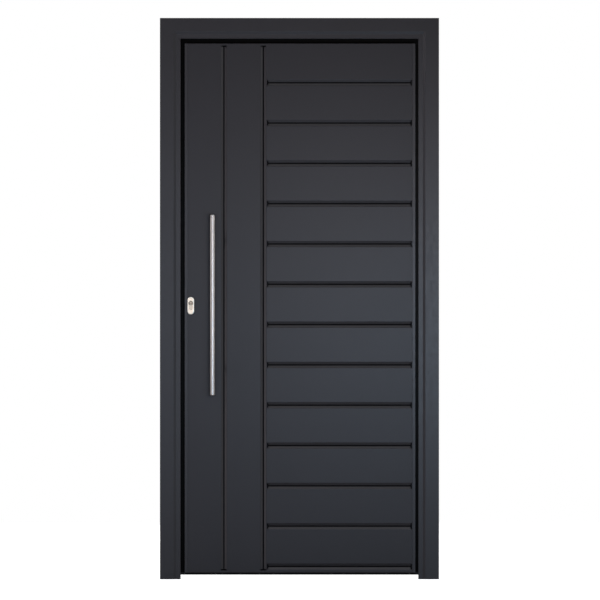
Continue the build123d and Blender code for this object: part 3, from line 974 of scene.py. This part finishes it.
class DOOR_OT_lever(bpy.types.Operator):
    """Bend the inner lever out of its round rose"""

    bl_idname = "door.lever"
    bl_label = "Inner Lever"

    def execute(self, context):
        sizes = context.scene.fitting_sizes
        low, high, middle, radius = round_box("inner_rose")
        back, front = (middle.x, low.y, middle.z), (middle.x, high.y, middle.z)
        rose = add_rod("inner_rose_cover", back, front, radius, sides=72)
        choose(rose, "EDGE", edge_at({Y: high.y}))
        soften(ROSE_ROUND, segments=5)
        choose(rose, "FACE", face_towards(INSIDE, high.y))
        bpy.ops.mesh.inset(thickness=radius - ROSE_ROUND - RECESS_RADIUS)
        push((0, -RECESS_DEPTH, 0))
        fit(close(rose), "brushed_stainless", "leaf", ["inner_rose"])
        grip_low, grip_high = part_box("inner_lever")
        grip_radius = (grip_high.z - grip_low.z) / 2
        axis_y = grip_high.y - grip_radius
        bend = sizes.elbow_radius
        root, neck_end = high.y - RECESS_DEPTH, axis_y - bend
        lever = add_rod(
            "inner_lever_handle", (middle.x, root, middle.z), (middle.x, neck_end, middle.z),
            grip_radius * NECK_SHARE)
        choose(lever, "FACE", face_towards(INSIDE, neck_end))
        bpy.ops.mesh.spin(
            steps=ELBOW_STEPS, angle=math.radians(90), center=(middle.x + bend, neck_end, middle.z),
            axis=(0, 0, 1))
        choose(lever, "FACE", face_towards((1, 0, 0), axis_y))
        push((grip_high.x - middle.x - bend, 0, 0))
        choose(lever, "EDGE", edge_at({X: grip_high.x}))
        soften(LEVER_END_ROUND, segments=5)
        choose(lever, "EDGE", edge_at({Y: root}))
        soften(LEVER_ROOT_ROUND)
        bpy.ops.mesh.select_all(action="SELECT")
        bpy.ops.mesh.remove_doubles(threshold=MERGE)
        fit(close(lever), "brushed_stainless", "leaf", ["inner_lever"])
        return {"FINISHED"}


BARREL_ROUND = 0.0007  # of the closed end of a hinge barrel


class DOOR_OT_hinges(bpy.types.Operator):
    """Soften the ends of the drop-shaped hinge barrels"""

    bl_idname = "door.hinges"
    bl_label = "Hinges"

    def execute(self, context):
        for level in ("lower", "middle", "upper"):
            for half in ("frame", "leaf"):
                node = f"{half}_hinge_{level}"
                piece = merged_copy(node, node + "_half")
                low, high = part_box(node)
                closed_end = low.z if half == "frame" else high.z
                choose(piece, "EDGE", lambda e: is_corner(e) and all(
                    abs(v.co.z - closed_end) < NEAR for v in e.verts))
                soften(BARREL_ROUND)
                fit(close(piece), SLOTS[node], half, [node])
        return {"FINISHED"}


SCREW_PROUD, SCREW_ROUND = 0.0003, 0.0003
SCREW_TAPER = (1, 0.55, 0.55)  # share of its head that the screw's foot keeps
CROSS_DEPTH = 0.001
CROSS_ARM = (0.0005, 0.0021)  # half the width and half the length of each arm of the cross


class DOOR_OT_screws(bpy.types.Operator):
    """Drive the countersunk screws of edge plate and strike plate"""

    bl_idname = "door.screws"
    bl_label = "Screws"

    def execute(self, context):
        sizes = context.scene.fitting_sizes
        for node, facing in (("edge_plate", -1), ("strike_plate", 1)):
            low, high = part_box(node)
            face = low.x if facing < 0 else high.x
            middle = (low.y + high.y) / 2
            for level, z in (("upper", high.z - sizes.screw_inset), ("lower", low.z + sizes.screw_inset)):
                head = self.screw(f"{node}_screw_{level}", facing, Vector((face, middle, z)), sizes)
                fit(head, "zinc_steel", BODIES[node])
        return {"FINISHED"}

    def screw(self, piece_name, facing, place, sizes):
        """A countersunk head with a cross recess in a face that looks along facing on X."""
        inward = Vector((-facing, 0, 0))
        deep, proud = place + inward * sizes.screw_depth, place - inward * SCREW_PROUD
        head = add_rod(piece_name, deep, proud, sizes.screw_radius, sides=32)
        choose(head, "FACE", face_towards(inward))
        bpy.ops.transform.resize(value=SCREW_TAPER, center_override=deep)
        choose(head, "EDGE", edge_at({X: proud.x}))
        soften(SCREW_ROUND)
        close(head)
        arms = []
        for wide, tall in (CROSS_ARM, CROSS_ARM[::-1]):
            reach = Vector((CROSS_DEPTH, wide, tall))
            arms.append(close(add_block("cross_cutter", proud - reach, proud + reach)))
        return carve(head, *arms)


class DOOR_OT_dress_nodes(bpy.types.Operator):
    """Give every CAD node its finish, before dressed pieces stand for most of them"""

    bl_idname = "door.dress_nodes"
    bl_label = "Frame Node Finishes"

    def execute(self, context):
        for name, node in frame["nodes"].items():
            node.data.materials.clear()
            node.data.materials.append(finish(SLOTS[name]))
        return {"FINISHED"}


WHITE, FLOOR_GREY = (1, 1, 1, 1), (0.8, 0.8, 0.8, 1)
MIDDLE = -0.5  # of the door, on X
CAMERA_X = -0.498
VIEW_Y = -0.002  # depth at which the camera sees the view width
WALL_SIZE, WALL_DISTANCE, WALL_HEIGHT = 28, 14.0, 4
HINGE_SIDE_SHARE = 3  # power of the lamp on the hinge side, in fill powers


class DOOR_OT_studio(bpy.types.Operator):
    """Set up the pale floor, the soft lamps, the world and the camera"""

    bl_idname = "door.studio"
    bl_label = "Studio"

    def execute(self, context):
        settings = context.scene.studio_settings
        self.floor(settings)
        self.dim_walls(settings)
        self.world(context.scene, settings)
        warm, cool, soft, white = settings.warm, settings.cool, settings.soft, WHITE[:3]
        pale = tuple((a + b) / 2 for a, b in zip(cool, soft))
        side_power = HINGE_SIDE_SHARE * settings.fill_power
        # Name, power, colour, width and height, place, and the point that it looks at
        for lamp in (
            ("key_lamp", settings.key_power, soft, (1.6, 1.6), (-2.7, -3.0, 3.0), (MIDDLE, 0, 1.1)),
            ("tall_lamp", settings.tall_power, soft, (1.0, 1.5), (-4.0, -1.6, 0.95), (MIDDLE, 0, 0.95)),
            ("upper_lamp", settings.upper_power, warm, (0.6, 0.5), (-0.16, -3.0, 1.3), (-0.16, 0, 1.3)),
            ("middle_lamp", settings.middle_power, cool, (0.5, 0.5), (-0.3, -3.0, 0.9), (-0.3, 0, 0.9)),
            ("left_lamp", settings.left_power, pale, (0.5, 0.9), (-1.4, -3.0, 1.05), (-1.4, 0, 1.05)),
            ("near_lamp", settings.near_power, cool, (0.6, 0.5), (0.22, -2.0, 0.92), (0.22, 0, 0.92)),
            ("lock_side_lamp", settings.fill_power, white, (1.5, 1.5), (-3.4, 0.6, 1.6), (MIDDLE, 0, 1.0)),
            ("hinge_side_lamp", side_power, white, (1.5, 1.5), (2.4, 0.6, 1.6), (MIDDLE, 0, 1.0)),
            ("back_lamp", settings.back_power, white, (2.0, 2.0), (-1.6, 3.2, 2.0), (MIDDLE, 0, 1.0)),
        ):
            self.lamp(*lamp)
        self.camera(context.scene, settings)
        context.scene.view_settings.view_transform = "Standard"
        return {"FINISHED"}

    def floor(self, settings):
        """A white floor that keeps shadows and meets the white background."""
        material, tree = empty_material("studio_white")
        diffuse = add(tree, "ShaderNodeBsdfDiffuse", {"Color": FLOOR_GREY})
        shown = add(tree, "ShaderNodeLightPath").outputs["Is Camera Ray"]
        level = add(tree, "ShaderNodeMath", {0: shown, 1: settings.floor_glow}, operation="MULTIPLY")
        glow = add(tree, "ShaderNodeEmission", {"Color": WHITE, "Strength": level.outputs[0]})
        both = add(tree, "ShaderNodeAddShader", {0: diffuse.outputs[0], 1: glow.outputs[0]})
        add(tree, "ShaderNodeOutputMaterial", {"Surface": both.outputs[0]})
        floor = add_plane("studio_floor", settings.floor_size, (MIDDLE, 0, 0), (0, 0, 0), material)

    def dim_walls(self, settings):
        """Dim walls in front, behind and on the lock side, seen only in the door's gloss."""
        quarter = math.radians(90)
        walls = (
            ("front_wall", settings.end_tone, (MIDDLE, -WALL_DISTANCE, WALL_HEIGHT), 0),
            ("rear_wall", settings.end_tone, (MIDDLE, WALL_DISTANCE, WALL_HEIGHT), 0),
            ("side_wall", settings.side_tone, (MIDDLE - WALL_DISTANCE, 0, WALL_HEIGHT), quarter),
        )
        for name, tone, place, turn in walls:
            material, tree = empty_material(name)
            dim = add(tree, "ShaderNodeEmission", {"Color": WHITE, "Strength": tone})
            add(tree, "ShaderNodeOutputMaterial", {"Surface": dim.outputs[0]})
            wall = add_plane(name, WALL_SIZE, place, (quarter, 0, turn), material)
            wall.visible_camera = False
            wall.visible_diffuse = False
            wall.visible_shadow = False

    def world(self, scene, settings):
        """A world that shows white and lights the object at a plain level."""
        world = bpy.data.worlds.new("studio_world")
        scene.world = world
        world.use_nodes = True
        tree = world.node_tree
        background = tree.nodes["Background"].inputs
        background["Color"].default_value = WHITE
        level = span(tree, seen_rays(tree), settings.ambient, 1.0, first=0.0, last=1.0)
        tree.links.new(level, background["Strength"])

    def lamp(self, name, power, colour, size, place, target):
        """A soft rectangular lamp that looks at a point and isn't seen itself."""
        data = bpy.data.lights.new(name, "AREA")
        data.shape = "RECTANGLE"
        data.size, data.size_y = size
        data.energy = power
        data.color = colour
        lamp = bpy.data.objects.new(name, data)
        bpy.context.scene.collection.objects.link(lamp)
        lamp.location = place
        lamp.rotation_euler = (Vector(target) - Vector(place)).to_track_quat("-Z", "Y").to_euler()
        lamp.visible_camera = False

    def camera(self, scene, settings):
        """A camera far in front, level with the middle of the picture."""
        data = bpy.data.cameras.new("front_camera")
        data.lens = settings.lens
        camera = bpy.data.objects.new("front_camera", data)
        scene.collection.objects.link(camera)
        distance = settings.view_width * settings.lens / data.sensor_width
        camera.location = (CAMERA_X, VIEW_Y - distance, settings.camera_height)
        camera.rotation_euler = (math.radians(90), 0, 0)
        scene.camera = camera


def empty_material(name):
    """A new material and its emptied node tree."""
    material = bpy.data.materials.new(name)
    material.use_nodes = True
    material.node_tree.nodes.clear()
    return material, material.node_tree


def add_plane(name, size, place, turn, material):
    """Adds a plane of the studio."""
    bpy.ops.object.select_all(action="DESELECT")
    bpy.ops.mesh.primitive_plane_add(size=size, location=place, rotation=turn)
    plane = bpy.context.active_object
    plane.name = name
    plane.data.materials.append(material)
    return plane


def seen_rays(tree):
    """One for camera, glossy and transmission rays, else nothing."""
    rays = add(tree, "ShaderNodeLightPath").outputs
    seen = rays["Is Camera Ray"]
    for kind in ("Is Glossy Ray", "Is Transmission Ray"):
        seen = add(tree, "ShaderNodeMath", {0: seen, 1: rays[kind]}, operation="MAXIMUM").outputs[0]
    return seen


OPERATORS = (
    DOOR_OT_dress_nodes,
    DOOR_OT_milled_board,
    DOOR_OT_sheet_pieces,
    DOOR_OT_pull_bar,
    DOOR_OT_lock_covers,
    DOOR_OT_lock_cylinder,
    DOOR_OT_lever,
    DOOR_OT_hinges,
    DOOR_OT_screws,
    DOOR_OT_studio,
)


class DOOR_PT_panel(bpy.types.Panel):
    """Buttons for the door's pieces, in the order in which they are made"""

    bl_idname = "DOOR_PT_panel"
    bl_label = "Entrance Door"
    bl_space_type = "VIEW_3D"
    bl_region_type = "UI"
    bl_category = "Entrance Door"

    def draw(self, context):
        for operator in OPERATORS:
            self.layout.operator(operator.bl_idname)


GROUPS = {
    "board_sizes": BoardSizes,
    "fitting_sizes": FittingSizes,
    "door_colours": FinishColours,
    "studio_settings": StudioSettings,
}


def register():
    """Registers the groups, operators and panel."""
    for name, group in GROUPS.items():
        bpy.utils.register_class(group)
        setattr(bpy.types.Scene, name, PointerProperty(type=group))
    for operator in OPERATORS:
        bpy.utils.register_class(operator)
    bpy.utils.register_class(DOOR_PT_panel)


def unregister():
    """Takes them away again."""
    bpy.utils.unregister_class(DOOR_PT_panel)
    for operator in reversed(OPERATORS):
        bpy.utils.unregister_class(operator)
    for name, group in GROUPS.items():
        delattr(bpy.types.Scene, name)
        bpy.utils.unregister_class(group)


def main():
    """Builds everything in order."""
    register()
    for operator in OPERATORS:
        group, name = operator.bl_idname.split(".")
        getattr(getattr(bpy.ops, group), name)()


if __name__ == "__main__":
    main()
